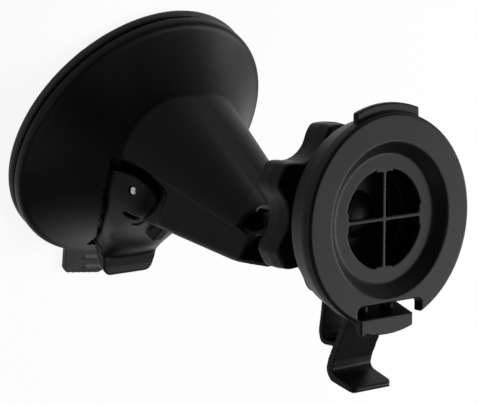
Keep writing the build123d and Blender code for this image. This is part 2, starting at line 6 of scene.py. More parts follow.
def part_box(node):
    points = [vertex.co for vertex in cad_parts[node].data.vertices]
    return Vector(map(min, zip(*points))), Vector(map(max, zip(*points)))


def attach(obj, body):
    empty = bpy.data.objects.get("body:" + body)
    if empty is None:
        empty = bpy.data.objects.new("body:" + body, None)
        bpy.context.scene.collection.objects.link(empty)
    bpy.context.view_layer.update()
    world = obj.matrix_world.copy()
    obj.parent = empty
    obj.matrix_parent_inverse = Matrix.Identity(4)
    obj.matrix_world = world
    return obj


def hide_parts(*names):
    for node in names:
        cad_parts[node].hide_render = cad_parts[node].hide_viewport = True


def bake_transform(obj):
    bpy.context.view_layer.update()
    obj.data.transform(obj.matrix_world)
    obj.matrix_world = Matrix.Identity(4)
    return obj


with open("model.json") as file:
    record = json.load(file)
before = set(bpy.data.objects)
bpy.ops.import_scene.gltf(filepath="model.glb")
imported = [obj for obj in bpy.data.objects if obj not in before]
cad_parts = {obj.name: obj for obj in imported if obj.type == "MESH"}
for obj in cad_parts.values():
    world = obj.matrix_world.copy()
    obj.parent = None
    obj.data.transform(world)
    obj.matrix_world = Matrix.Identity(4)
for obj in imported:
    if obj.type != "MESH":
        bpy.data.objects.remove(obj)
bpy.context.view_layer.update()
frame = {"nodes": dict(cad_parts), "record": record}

# ---- The studio.
# A white paper table runs up to a pale wall in a dim room. A tall softbox on the right lays the
# long sheen, one overhead picks out the top edges, and two small ones fill the front and left.
mm = 0.001


def linear(hex_colour):
    """An sRGB hex colour as linear RGBA."""
    channels = [int(hex_colour[i:i + 2], 16) / 255 for i in (1, 3, 5)]
    return [c / 12.92 if c <= 0.04045 else ((c + 0.055) / 1.055) ** 2.4 for c in channels] + [1.0]


def node(tree, kind, links={}, **settings):
    """Adds a node, sets its settings or input values by name, and links its inputs."""
    made = tree.nodes.new(kind)
    for name, value in settings.items():
        if name in made.bl_rna.properties:
            setattr(made, name, value)
        else:
            made.inputs[name.replace("_", " ")].default_value = value
    for name, source in links.items():
        tree.links.new(source, made.inputs[name])
    return made


eye = Vector((-461.88, 390.17, 469.32)) * mm
right = Vector((0.7681, 0.3224, 0.5533))
upright = Vector((0.1020, 0.7915, -0.6027))
back = Vector((-0.6322, 0.5193, 0.5750))
camera = bpy.data.objects.new("camera", bpy.data.cameras.new("camera"))
camera.data.lens = 203.77
camera.data.sensor_width = 36
camera.data.clip_start = 0.05
turn = Matrix((right, upright, back)).transposed()
camera.matrix_world = Matrix.Translation(eye) @ turn.to_4x4()
bpy.context.scene.collection.objects.link(camera)
bpy.context.scene.camera = camera
bpy.context.scene.view_settings.view_transform = "Standard"

subject = Vector((0, 20, 50)) * mm


def softbox(name, towards, distance, width, height, power):
    """An area lamp that faces the holder from a direction given as right, up and back of the camera."""
    direction = (right * towards[0] + upright * towards[1] + back * towards[2]).normalized()
    lamp = bpy.data.lights.new(name, "AREA")
    lamp.shape = "RECTANGLE"
    lamp.size, lamp.size_y, lamp.energy = width, height, power
    holder = bpy.data.objects.new(name, lamp)
    facing = direction.to_track_quat("Z", "Y").to_matrix().to_4x4()
    holder.matrix_world = Matrix.Translation(subject + direction * distance) @ facing
    bpy.context.scene.collection.objects.link(holder)
    return holder


softbox("key softbox", (0.94, -0.2, -0.12), 0.9, 0.35, 0.8, 9.0)
softbox("overhead softbox", (0.0, -0.87, 0.48), 0.9, 0.5, 0.5, 1.2)
softbox("front fill", (0.45, -0.2, 0.8), 1.0, 0.4, 0.4, 0.6)
softbox("left strip", (-0.74, -0.2, 0.64), 0.8, 0.3, 0.3, 0.7)


def looking(tree):
    """1 for rays that show the background: straight, mirrored, or through something clear."""
    ray = node(tree, "ShaderNodeLightPath").outputs
    seen = ray["Is Camera Ray"]
    for other in ("Is Glossy Ray", "Is Transmission Ray"):
        seen = node(tree, "ShaderNodeMath", {0: seen, 1: ray[other]}, operation="MAXIMUM").outputs[0]
    return seen


backdrop_level, room_level = 0.9, 0.04
wall_end, wall_fade = 0.12, 0.16        # sines of the heights where the pale wall gives way to the room
world = bpy.data.worlds.new("dim room")
bpy.context.scene.world = world
world.use_nodes = True
room = world.node_tree
gaze = node(room, "ShaderNodeTexCoord").outputs["Generated"]
height = node(room, "ShaderNodeSeparateXYZ", {"Vector": gaze}).outputs["Z"]
backdrop = node(room, "ShaderNodeMapRange", {"Value": height},
                From_Min=wall_end, From_Max=wall_fade, To_Min=backdrop_level, To_Max=room_level)
level = node(room, "ShaderNodeMapRange", {"Value": looking(room), "To Max": backdrop.outputs["Result"]},
             To_Min=room_level)
room.nodes["Background"].inputs["Color"].default_value = linear("#ffffff")
room.links.new(level.outputs["Result"], room.nodes["Background"].inputs["Strength"])

table_half = 2.0
corners = [(-table_half, -table_half, 0), (table_half, -table_half, 0),
           (table_half, table_half, 0), (-table_half, table_half, 0)]
table_mesh = bpy.data.meshes.new("table")
table_mesh.from_pydata(corners, [], [(0, 1, 2, 3)])
table = bpy.data.objects.new("table", table_mesh)
bpy.context.scene.collection.objects.link(table)

# White paper: it shows white, keeps the holder's soft shadow, and sends little light back up.
paper = bpy.data.materials.new("white studio paper")
paper.use_nodes = True
tree = paper.node_tree
tree.nodes.clear()
glow = node(tree, "ShaderNodeEmission", Color=linear("#ffffff"), Strength=backdrop_level)
matt = node(tree, "ShaderNodeBsdfDiffuse", Color=linear("#5a5a5a"))
lit = node(tree, "ShaderNodeAddShader", {0: glow.outputs[0], 1: matt.outputs[0]})
dark = node(tree, "ShaderNodeBsdfDiffuse", Color=linear("#303030"))
mix = node(tree, "ShaderNodeMixShader", {0: looking(tree), 1: dark.outputs[0], 2: lit.outputs[0]})
node(tree, "ShaderNodeOutputMaterial", {"Surface": mix.outputs[0]})
table.data.materials.append(paper)

# ---- Rubber cup.
# Soft black rubber, pressed in one piece: a flat sealing band, a flexing ring and a pull tab
# that peels it off the glass. Its centre is bonded to the steel disc the lever lifts.
def finished(body, tools=()):
    """The object's mesh with its modifiers worked in; the tools are used up."""
    view = bpy.context.evaluated_depsgraph_get()
    shaped = bpy.data.meshes.new_from_object(body.evaluated_get(view))
    body.modifiers.clear()
    body.data = shaped
    for tool in tools:
        bpy.data.objects.remove(tool)
    return body


def form(name, verts, faces, place=Matrix()):
    """A closed body from its corners in millimetres, set in place."""
    mesh = bpy.data.meshes.new(name)
    mesh.from_pydata([place @ (Vector(v) * mm) for v in verts], [], faces)
    bm = bmesh.new()
    bm.from_mesh(mesh)
    bmesh.ops.recalc_face_normals(bm, faces=bm.faces)
    bm.to_mesh(mesh)
    bm.free()
    body = bpy.data.objects.new(name, mesh)
    bpy.context.scene.collection.objects.link(body)
    return body


def lofted(name, rings, place=Matrix()):
    """A body stretched over rings of equally many points, closed at both ends."""
    count = len(rings[0])
    faces = [tuple(range(count)), tuple(range((len(rings) - 1) * count, len(rings) * count))]
    for level in range(len(rings) - 1):
        a, b = level * count, (level + 1) * count
        faces += [(a + i, a + (i + 1) % count, b + (i + 1) % count, b + i) for i in range(count)]
    return form(name, [p for ring in rings for p in ring], faces, place)


def prism(name, outline, low, high, place=Matrix()):
    """A flat outline drawn out between two heights."""
    return lofted(name, [[(x, y, z) for x, y in outline] for z in (low, high)], place)


def slab(name, x, y, z, place=Matrix()):
    """A plain cutter between pairs of limits."""
    return prism(name, [(x[0], y[0]), (x[1], y[0]), (x[1], y[1]), (x[0], y[1])], z[0], z[1], place)


def turned(name, profile, place=Matrix(), steps=180):
    """A body turned about the Z axis from a closed outline of (radius, height) points."""
    on_axis = 1e-6
    verts, faces, starts = [], [], []
    for r, z in profile:
        starts.append(len(verts))
        if r < on_axis:
            verts.append((0, 0, z))
        else:
            verts += [(r * cos(2 * pi * i / steps), r * sin(2 * pi * i / steps), z) for i in range(steps)]
    ends, next_starts = profile[1:] + profile[:1], starts[1:] + starts[:1]
    for (r0, _), a, (r1, _), b in zip(profile, starts, ends, next_starts):
        for i in range(steps):
            j = (i + 1) % steps
            if r0 > on_axis and r1 > on_axis:
                faces.append((a + i, a + j, b + j, b + i))
            elif r0 > on_axis:
                faces.append((a + i, a + j, b))
            elif r1 > on_axis:
                faces.append((a, b + j, b + i))
    return form(name, verts, faces, place)


def disc(name, r, low, high, place=Matrix()):
    """A round cutter or boss on the place's axis."""
    return turned(name, [(0, low), (r, low), (r, high), (0, high)], place, steps=96)


def worked(body, *steps):
    """Cuts, joins or keeps what each tool covers, in order."""
    for how, tool in steps:
        step = body.modifiers.new(how, "BOOLEAN")
        step.operation, step.solver, step.object = how, "MANIFOLD", tool
        finished(body, [tool])
    return body


def moulded(body, grain, soften=4):
    """Evens the mesh at that grain in millimetres and rounds its edges as a mould does."""
    even = body.modifiers.new("even", "REMESH")
    even.mode, even.voxel_size = "VOXEL", grain * mm
    soft = body.modifiers.new("soft", "SMOOTH")
    soft.factor, soft.iterations = 0.5, soften
    finished(body)
    body.data.shade_smooth()
    return body


def rounded(corners, steps=6):
    """A closed outline from corners of (x, y, radius)."""
    outline = []
    for i, (x, y, r) in enumerate(corners):
        here = Vector((x, y))
        before = (Vector(corners[i - 1][:2]) - here)
        after = (Vector(corners[(i + 1) % len(corners)][:2]) - here)
        if r <= 0:
            outline.append((x, y))
            continue
        half = before.angle(after) / 2
        reach = min(r / max(sin(half) / cos(half), 1e-6), before.length * 0.49, after.length * 0.49)
        r = reach * sin(half) / cos(half)
        start, end = here + before.normalized() * reach, here + after.normalized() * reach
        middle = here + (before.normalized() + after.normalized()).normalized() * (r / sin(half))
        a = atan2(start.y - middle.y, start.x - middle.x)
        b = atan2(end.y - middle.y, end.x - middle.x)
        sweep = (b - a + pi) % (2 * pi) - pi
        outline += [(middle.x + r * cos(a + sweep * k / steps), middle.y + r * sin(a + sweep * k / steps))
                    for k in range(steps + 1)]
    return outline


def surface(name, dark, light, drift, roughness, grain, depth, specular=0.5, metallic=0.0):
    """Colour that drifts between two tones over so many millimetres, under a fine grain."""
    material = bpy.data.materials.new(name)
    material.use_nodes = True
    tree = material.node_tree
    shader = tree.nodes["Principled BSDF"]
    shader.inputs["Specular IOR Level"].default_value = specular
    shader.inputs["Metallic"].default_value = metallic
    where = node(tree, "ShaderNodeTexCoord").outputs["Object"]
    clouds = node(tree, "ShaderNodeTexNoise", {"Vector": where}, Scale=1 / (drift * mm), Detail=3.0)
    tone = node(tree, "ShaderNodeValToRGB", {"Fac": clouds.outputs["Fac"]})
    for end, place, colour in ((0, 0.38, dark), (1, 0.62, light)):
        tone.color_ramp.elements[end].position = place
        tone.color_ramp.elements[end].color = linear(colour)
    etch = node(tree, "ShaderNodeTexNoise", {"Vector": where}, Scale=1 / (grain * mm), Detail=2.0)
    gloss = node(tree, "ShaderNodeMapRange", {"Value": etch.outputs["Fac"]},
                 From_Min=0.35, From_Max=0.65, To_Min=roughness - 0.06, To_Max=roughness + 0.06)
    relief = node(tree, "ShaderNodeBump", {"Height": etch.outputs["Fac"]},
                  Strength=1.0, Distance=depth * mm)
    tree.links.new(tone.outputs["Color"], shader.inputs["Base Color"])
    tree.links.new(gloss.outputs["Result"], shader.inputs["Roughness"])
    tree.links.new(relief.outputs["Normal"], shader.inputs["Normal"])
    return material


def fitted(piece, body, slot, material, *nodes):
    """Sets a piece on its CAD body, in place of the CAD nodes it stands for."""
    piece.data.materials.clear()
    piece.data.materials.append(material)
    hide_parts(*nodes)
    if body:
        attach(piece, body)


cup_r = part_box("bell_shell")[1][0] / mm
pad_t = 2.2                             # rubber at the rim
band_in = 34.5                          # the flat sealing band starts here
core_r, core_t, core_gap = 15.5, 1.9, 0.7
core_low = 3.3                          # hollow under the centre while the cup is locked on
core_top = core_low + core_t
core_round = 0.5

membrane = [(band_in, 0), (core_r + core_gap, core_low), (core_r + core_gap, core_top),
            (band_in - 1, pad_t)]
rim = [(cup_r - 0.7, pad_t), (cup_r - 0.25, pad_t - 0.25), (cup_r - 0.05, pad_t - 0.9), (cup_r, 0.4),
       (cup_r - 0.3, 0)]
rubber = turned("rubber_cup", membrane + rim)

tab_low, tab_t = 0.4, 2.0
tab_root = 3 - cup_r
tab_plan = [(-10.4, tab_root, 0), (-6.5, -cup_r - 10.3, 2.4), (8.2, -cup_r - 12.4, 2.6), (9.6, tab_root, 0)]
tab = prism("tab", rounded(tab_plan), tab_low, tab_low + tab_t)
ridge_half, ridge_thick, ridge_top = 3.6, 0.9, tab_t + 0.95
askew = Matrix.Rotation(radians(-8), 4, "Z")
ridges = []
for x, beyond_rim in ((2.0, 5.7), (3.4, 9.5)):
    place = Matrix.Translation((x * mm, (-cup_r - beyond_rim) * mm, 0)) @ askew
    ridges.append(slab("ridge", (-ridge_half, ridge_half), (-ridge_thick / 2, ridge_thick / 2),
                       (tab_t - 0.4, ridge_top), place))
worked(tab, ("DIFFERENCE", disc("inside", cup_r - 1, 0, 5)), *[("UNION", ridge) for ridge in ridges])
moulded(worked(rubber, ("UNION", tab)), 0.3, 3)

centre = turned("rubber_centre", [
    (0, core_low), (core_r - core_round, core_low), (core_r, core_low + core_round),
    (core_r, core_top - core_round), (core_r - core_round, core_top), (0, core_top)])
centre.data.shade_smooth()

# Carbon-filled rubber: grey-black and dull, with a bloom that drifts over it.
soft_rubber = surface("carbon-filled rubber", "#2f2f30", "#38383a", 6.0, 0.62, 0.25, 0.012, specular=0.3)
fitted(rubber, "cup", "black_rubber", soft_rubber, "suction_pad")
fitted(centre, "post", "black_rubber", soft_rubber, "pad_core")

# ---- Lift mechanism.
# A steel disc bonded to the rubber's centre, screwed to a turned acetal post; a coil spring
# presses the rubber down again. All of it hides in the bell, and its CAD forms are kept.
def dressed(material, *nodes):
    """Gives CAD nodes that keep their own form their finish."""
    for name in nodes:
        part = frame["nodes"][name]
        part.data.materials.clear()
        part.data.materials.append(material)


# Zinc plate: a pale, slightly hazy metal. Spring wire: darker, with the marks of the die.
# Turned acetal: nearly black, with a dull waxy skin and hardly a highlight.
zinc = surface("zinc-plated steel", "#a9abad", "#bcbec0", 3.0, 0.3, 0.2, 0.003, metallic=1.0)
wire = surface("drawn spring steel", "#8b8c8f", "#9d9ea1", 2.0, 0.35, 0.12, 0.004, metallic=1.0)
acetal = surface("black acetal, machined", "#0b0b0c", "#0f0f10", 5.0, 0.5, 0.3, 0.004, specular=0.1)
dressed(zinc, "pad_insert", "post_screw")
dressed(wire, "return_spring")
dressed(acetal, "draw_post")

# ---- Bell and hood.
# One moulding in black ABS: a trumpet-shaped housing over the rubber cup, with the hood of
# the arm growing out of its back. The mould leaves soft edges and a finely etched skin.
def arc(start, middle, end, steps):
    """Points on the circle through three points, from the first to the last."""
    (ax, ay), (bx, by), (cx, cy) = start, middle, end
    a2, b2, c2 = ax**2 + ay**2, bx**2 + by**2, cx**2 + cy**2
    d = 2 * (ax * (by - cy) + bx * (cy - ay) + cx * (ay - by))
    ux = (a2 * (by - cy) + b2 * (cy - ay) + c2 * (ay - by)) / d
    uy = (a2 * (cx - bx) + b2 * (ax - cx) + c2 * (bx - ax)) / d
    r = hypot(ax - ux, ay - uy)
    a, m, b = (atan2(y - uy, x - ux) for x, y in (start, middle, end))
    while m < a:
        m += 2 * pi
    while b < a:
        b += 2 * pi
    if m > b:
        b -= 2 * pi
    angles = [a + (b - a) * i / steps for i in range(steps + 1)]
    return [(ux + r * cos(angle), uy + r * sin(angle)) for angle in angles]


def flowing(points, steps):
    """A smooth line through points of any dimension."""
    line = []
    ends = [points[0]] + list(points) + [points[-1]]
    for before, here, after, beyond in zip(ends, ends[1:], ends[2:], ends[3:]):
        for k in range(steps):
            t = k / steps
            point = []
            for p, q, r, s in zip(before, here, after, beyond):
                bend, twist = 2 * p - 5 * q + 4 * r - s, 3 * q - p - 3 * r + s
                point.append(0.5 * (2 * q + (r - p) * t + bend * t**2 + twist * t**3))
            line.append(tuple(point))
    return line + [tuple(points[-1])]


# Two ways to stand a flat outline up: as the arm's (y, z), or as its (x, z) with depth along -Y.
sideways = Matrix(((0, 0, 1, 0), (1, 0, 0, 0), (0, 1, 0, 0), (0, 0, 0, 1)))
upended = Matrix(((1, 0, 0, 0), (0, 0, -1, 0), (0, 1, 0, 0), (0, 0, 0, 1)))


def across(name, outline, half, other=None):
    """An outline of (y, z) points drawn out along X, to both sides or between two places."""
    low, high = (-half, half) if other is None else (half, other)
    return prism(name, outline, low, high, sideways)


joint = {j["name"]: j for j in frame["record"]["behaviour"]["joints"]}
ball_c = Vector(joint["ball_tilt"]["pos_m"]) / mm
pin_c = Vector(joint["lever_pivot"]["pos_m"]) / mm
pin = Matrix.Translation(pin_c * mm) @ sideways
far = 60                                # cutters that go right through reach this far
wide = 30
foot_z, side_h = 3.5, 1.8               # the bell's lower edge, and the upright wall over it
groove_depth, ring_w = 2.6, 3.4         # groove under the edge, and the ring that bears on the rubber
bell_wall = 3.2
pocket_depth, pocket_margin = 2.6, 1.2  # the lever's pocket: into the bell, and round the lever
clear = 0.1                             # between mouldings that are screwed together
low_z, high_z = 22.0, 70.0              # the arm's tapers are stated at these heights


def tapered(low, high, z):
    """Straight taper of the arm between its two stated heights."""
    return low + (high - low) * (z - low_z) / (high_z - low_z)


def web_half(z):
    return tapered(19.2, 8.0, z)


def flange_y(z):
    return tapered(8.4, 14.0, z)


def ridge_y(z):
    return tapered(24.7, 17.9, z)


def under_y(z):
    return tapered(-9.9, 4.0, z)


def trumpet(name, inset=0.0, drop=0.0):
    """The bell's outside, or the same form moved inwards and opened below its edge."""
    curve = [((38.6, 6.9), (0.66, 0.75)), ((26.6, 18.0), (0.72, 0.69)), ((20.3, 26.0), (0.5, 1.0))]
    low, middle, top = [(r - inset * out_r, z - inset * out_z) for (r, z), (out_r, out_z) in curve]
    profile = [(0, foot_z - drop), (cup_r - inset, foot_z - drop)]
    if not inset:
        side_top = foot_z + side_h
        profile += arc((cup_r, side_top), (cup_r - 0.45, side_top + 1.05), low, 8)[:-1]
    return turned(name, profile + arc(low, middle, top, 32) + [(0, top[1])])


hood_overhang, hood_wall = 1.8, 1.8
facet_half = 2.4


def hood(name, inset=0.0, low=12.0, high=74.0, levels=16):
    """Hood of the arm: arched flanks up to a narrow top facet."""
    rings = []
    for i in range(levels + 1):
        z = low + (high - low) * i / levels
        half = web_half(z) + hood_overhang - inset
        edge, top = flange_y(z), ridge_y(z) - inset
        narrow = facet_half - inset * 0.3
        chord = hypot(half - narrow, top - edge)
        bulge = tapered(4.7, 2.2, z)
        middle = ((half + narrow) / 2 + bulge * (top - edge) / chord,
                  (edge + top) / 2 + bulge * (half - narrow) / chord)
        flank = arc((half, edge), middle, (narrow, top), 20)
        foot = [(-half, edge - 3), (half, edge - 3)] if inset else []
        rings.append([(x, y, z) for x, y in foot + flank + [(-x, y) for x, y in reversed(flank)]])
    return lofted(name, rings)


def web(name, low, high, grow=0.0):
    """Body of the arm under the hood, with rounded lower edges."""
    rings = []
    for z in (low, high):
        half, under, flange = web_half(z) + grow, under_y(z) - grow, flange_y(z) + grow
        outline = rounded([(-half, flange, 0), (-half, under, 3.0), (half, under, 3.0), (half, flange, 0)])
        rings.append([(x, y, z) for x, y in outline])
    return lofted(name, rings)


lip_y, lip_z = -32.0, 18.5              # where the lever's shell meets its finger lip
ear_back = 6.2


def lever_form(name, margin=0.0, drop=0.0):
    """The lever's outside: it swells from the flat lip to the ears beside the arm."""
    # along the arm, half width, base, crown, then two points of the side between them
    stations = [
        (lip_y - margin, 7.8, 8.0, 18.5, (8.9, 14.5), (9.2, 17.8)),
        (-26.0, 10.9, 9.0, 23.2, (10.8, 17.0), (8.2, 20.8)),
        (-20.0, 14.8, 11.0, 26.3, (14.5, 20.2), (10.8, 22.9)),
        (-13.0, 18.6, 14.0, 30.3, (17.8, 23.2), (13.8, 27.8)),
        (-3.0, 21.8, 18.0, 35.4, (20.6, 25.6), (16.1, 34.2)),
        (ear_back + margin, 22.4, 18.0, 38.0, (20.6, 26.0), (15.9, 36.2))]
    lines = []
    for y, half, base, crown, side, shoulder in stations:
        lines.append((y, half + margin, base - drop, side[0] + margin, side[1] - drop,
                      shoulder[0] + margin * 0.7, shoulder[1] + margin * 0.7 - drop, crown + margin - drop))
    rings = []
    for y, half, base, side_x, side_z, shoulder_x, shoulder_z, crown in flowing(lines, 8):
        right_side = [(half, base), (side_x, side_z), (shoulder_x, shoulder_z), (0, crown)]
        ring = flowing(right_side + [(-x, z) for x, z in right_side[-2::-1]], 8)
        rings.append([(x, y, z) for x, z in ring])
    return lofted(name, rings)


def rim_end():
    """The end of the arm's lower edge: it runs on past the flanks and turns the corner."""
    half, end, corner_r = 10.9, 67.6, 3.5
    corner = rounded([(-14, 50, 0), (-half, end, corner_r), (half, end, corner_r), (14, 50, 0)])
    edge = flange_y(64)
    return prism("rim", corner, -(edge + 0.4), -(edge - 3), upended)


swing_r = hypot(22.6, 28.5 - 22.0) + 0.8


def swing_room():
    """The ball that the clamp nut's corners sweep through, with room to spare."""
    steps = 48
    angles = [pi * i / steps for i in range(steps + 1)]
    half_circle = [(swing_r * sin(angle), -swing_r * cos(angle)) for angle in angles]
    return turned("swing", half_circle, Matrix.Translation(ball_c * mm))


hood_cut, top_wall_half = 62.3, 6.6     # the flanks end here, and the top runs on this wide
ring_out = cup_r - groove_depth
ring = turned("ring", [(ring_out - ring_w, pad_t), (ring_out, pad_t), (ring_out, foot_z + 1),
                       (ring_out - ring_w, foot_z + 3)])
pocket = worked(lever_form("pocket", pocket_margin), ("DIFFERENCE", trumpet("floor", pocket_depth)))
beyond = worked(
    slab("beyond", (-wide, wide), (-40, far), (hood_cut, 99)),
    ("DIFFERENCE", across("top_wall", [(ridge_y(22) - hood_wall, 22), (ridge_y(99) - hood_wall, 99),
                                       (90, 99), (90, 22)], top_wall_half)),
    ("DIFFERENCE", rim_end()))
bell = worked(
    trumpet("bell"),
    ("UNION", hood("hood")),
    ("DIFFERENCE", trumpet("hollow", bell_wall, 1.5)),
    ("DIFFERENCE", hood("hood_hollow", hood_wall)),
    ("UNION", ring),
    ("DIFFERENCE", web("web_room", 12.5, high_z + 4, clear)),
    ("DIFFERENCE", pocket),
    ("DIFFERENCE", beyond),
    ("DIFFERENCE", swing_room()))
moulded(bell, 0.4)

# Black ABS with a fine etch: matt, with a soft sheen where it turns to the light.
abs_black = surface("moulded black ABS", "#0e0e0f", "#131314", 14.0, 0.42, 0.22, 0.004, specular=0.085)
fitted(bell, "cup", "satin_black_abs", abs_black, "bell_shell")

# ---- Arm core.
# The arm's body, moulded in the same black ABS and screwed up into the bell under the hood.
# Its end is cored out round a middle wall, and its floor curls up as a chin under the hood.
foot_r, foot_low, foot_top = 23.2, 13.5, 16.5
spine_half, core_cut = 3.4, 65.5        # middle wall, and the height where the coring starts
slot_half, slot_back, slot_z = 8.0, 13.2, (22.0, 44.0)
tongue_side, tongue_back = 13.6, 4.6    # the lever's tongue swings within these
web_wall = 1.5


def line_of(height, shift, low, high):
    """Two points of a line along the arm, as (y, z)."""
    return [(height(low) + shift, low), (height(high) + shift, high)]


def floor_span():
    """Plate under the hood that follows its lower edge to the arm's end."""
    floor_t, end, end_t = 1.7, 67.4, 0.8
    plate = across("floor", [(flange_y(22), 22), (flange_y(end), end), (flange_y(end) + end_t, end),
                             (flange_y(58) + end_t, 58), (flange_y(22) + floor_t, 22)], wide)
    return worked(hood("floor_span", hood_wall + clear, 20),
                  ("INTERSECT", plate),
                  ("DIFFERENCE", swing_room()))


def tongue_room():
    """Room for the lever's tongue between the web's walls."""
    walls = []
    for z in (foot_top, far):
        half = web_half(z) - web_wall
        walls.append([(-half, -far, z), (half, -far, z), (half, tongue_back, z), (-half, tongue_back, z)])
    return worked(disc("tongue_room", 14.6, -wide, wide, pin),
                  ("INTERSECT", lofted("between_walls", walls)),
                  ("INTERSECT", slab("inside_ears", (-tongue_side, tongue_side), (-far, far), (0, far))))


core = web("arm_core_body", foot_low, high_z + 4)
cored = across("cored", [(5.1, core_cut), (6.6, 68), (8.9, 72), (10.6, 75), (50, 82), (50, core_cut)], wide)
spine_line = line_of(under_y, 0, 50, 74) + line_of(ridge_y, -hood_wall - clear, 50, 74)[::-1]
spine = across("spine", spine_line, spine_half)
worked(
    core,
    ("DIFFERENCE", cored),
    ("DIFFERENCE", swing_room()),
    ("UNION", worked(spine, ("DIFFERENCE", swing_room()))),
    ("UNION", floor_span()),
    ("UNION", disc("foot", foot_r, foot_low, foot_top)),
    ("DIFFERENCE", slab("slot", (-slot_half, slot_half), (-far, slot_back), slot_z)),
    ("DIFFERENCE", tongue_room()),
    ("DIFFERENCE", disc("post_bore", 3.6, 0, slot_z[0] + 1)))

ear_floor, ear_sweep = 15.0, 6.4        # the ears' pockets, relieved round the pin
knuckle_r, knuckle_x = 12.1, (13.7, 14.9)
pit_z, pit_skin = (53, 64.8), 1.0       # pits each side of the middle wall
pocket_line = rounded([(7.6, 10, 0), (7.6, 38.4, 2.2), (-6, 38.4, 3), (-16, 32, 3), (-16, 10, 0)])
for out in (-1, 1):
    ear_x = sorted((out * ear_floor, out * 40))
    knuckle = worked(
        disc("knuckle", knuckle_r, *sorted(out * x for x in knuckle_x), pin),
        ("INTERSECT", lever_form("flush", -0.3)),
        ("INTERSECT", slab("over_foot", (-wide, wide), (-far, far), (14, far))))
    inner = spine_half + 0.9
    pit = [(out * x, z) for x, z in ((inner, pit_z[0]), (web_half(pit_z[0]) - pit_skin, pit_z[0]),
                                     (web_half(pit_z[1]) - pit_skin, pit_z[1]), (inner, pit_z[1]))]
    worked(core,
           ("DIFFERENCE", across("ear_pocket", pocket_line, *ear_x)),
           ("DIFFERENCE", disc("ear_sweep", ear_sweep, *ear_x, pin)),
           ("UNION", knuckle),
           ("DIFFERENCE", prism("end_pit", pit[::out], -19, -7, upended)))
worked(core, ("DIFFERENCE", across("end_rise", [
    (under_y(61) - 0.02, 61), (3.4, 65), (5.2, 68), (7.5, 72), (9.2, 75), (-9, 75), (-9, 61)], wide)))
moulded(core, 0.35)
fitted(core, "cup", "satin_black_abs", abs_black, "arm_core")
dressed(zinc, "core_screws")

# ---- Cam lever.
# Black ABS cap over the arm's foot: a hollow shell with a finger lip in front and two flat
# ears that turn on the pin. Cheeks inside carry the cam that draws the rubber's centre up.
skin, roof = 2.0, 2.4                   # sides and top of the hollow shell
bed_depth = pocket_depth - 1.0          # the lever lies this deep in the bell
slit_r, tongue_half, side_in = 12.3, 13.2, 15.2
ear_r, ear_face = 8.2, 15.5
tip_y, kick = -37.4, 1.6                # the lip's tip, and its upturned edge
cam_r, cam_offset, cam_lead = 5.0, 3.0, radians(75)
cheek_in, cheek_out, cheek_reach = 3.9, 7.3, 17.8
groove_in, groove_out, groove_x = 7.7, 9.1, (15.9, 19)
bore_half, lip_scoop = 1.25, 40

hollow = lever_form("lever_hollow", -skin, roof)
hollow.location.y = 0.6 * mm
ear = worked(lever_form("ears"), ("DIFFERENCE", trumpet("bed", bed_depth)),
             ("INTERSECT", disc("ear_round", ear_r, -wide, wide, pin)),
             ("DIFFERENCE", disc("between", ear_r + 1, -ear_face, ear_face, pin)))
ear_line = rounded([(2.4, 0, 0), (2.4, 18, 0), (ear_back, 28.5, 1.5), (ear_back, 34.9, 3.4),
                    (-1.1, 36.7, 2.0), (-3.1, far, 0), (far, far, 0), (far, 0, 0)])

lip_plan = rounded([(-9.6, lip_y + 2, 0), (-8.5, tip_y, 3), (8.5, tip_y, 3), (9.6, lip_y + 2, 0)])
lip_side = across("lip_side", [
    (lip_y + 2, lip_z - 5.6), (lip_y, lip_z - 5.4), (-35, 15.8), (tip_y, lip_z - 0.2),
    (tip_y, lip_z + kick), (-35, lip_z + 0.7), (lip_y - 0.3, lip_z), (lip_y + 2, lip_z - 1.2)], 12)
lip = worked(prism("lip", lip_plan, 5, 25), ("INTERSECT", lip_side))
under_lip = disc("under_lip", lip_scoop, -40, lip_z - 5.7, Matrix.Translation((0, (lip_y - 38.8) * mm, 0)))

groove_span = across("ring_span", [(pin_c.y, pin_c.z), (pin_c.y - 12, pin_c.z + 16.5),
                                   (pin_c.y - 22, pin_c.z + 10), (pin_c.y - 22, pin_c.z - 3)], wide)
groove = worked(
    turned("ring_groove", [(groove_in, -groove_x[1]), (groove_out, -groove_x[1]),
                           (groove_out, groove_x[1]), (groove_in, groove_x[1])], pin),
    ("INTERSECT", groove_span),
    ("DIFFERENCE", slab("ring_between", (-groove_x[0], groove_x[0]), (-far, far), (0, far))))

cam_y, cam_z = pin_c.y + cam_offset * cos(cam_lead), pin_c.z + cam_offset * sin(cam_lead)
front_y = pin_c.y - cheek_reach
cheeks = worked(
    across("cheeks", [(cam_y + cam_r, cam_z), (cam_y, cam_z + cam_r), (front_y, 31.5), (front_y, 27.4),
                      (pin_c.y - 4, pin_c.z - 5), (pin_c.y + 3, pin_c.z - 5)], cheek_out),
    ("DIFFERENCE", slab("between", (-cheek_in, cheek_in), (-far, far), (0, far))))
cam = disc("cam", cam_r, -cheek_in - 0.5, cheek_in + 0.5,
           Matrix.Translation(Vector((0, cam_y, cam_z)) * mm) @ sideways)

shell = worked(
    lever_form("cam_lever_shell"),
    ("DIFFERENCE", trumpet("bed", bed_depth)),
    ("DIFFERENCE", hollow),
    ("DIFFERENCE", slab("tongue_end", (-side_in, side_in), (-3, far), (0, far))),
    ("DIFFERENCE", disc("left_slit", slit_r, -side_in, -tongue_half, pin)),
    ("DIFFERENCE", disc("right_slit", slit_r, tongue_half, side_in, pin)),
    ("UNION", lip),
    ("UNION", cheeks),
    ("UNION", ear),
    ("DIFFERENCE", across("ear_end", ear_line, 40)),
    ("DIFFERENCE", groove),
    ("UNION", cam),
    ("DIFFERENCE", under_lip),
    ("DIFFERENCE", disc("pin_bore", bore_half, -40, 40, pin)))
moulded(shell, 0.3)
fitted(shell, "lever", "satin_black_abs", abs_black, "cam_lever")

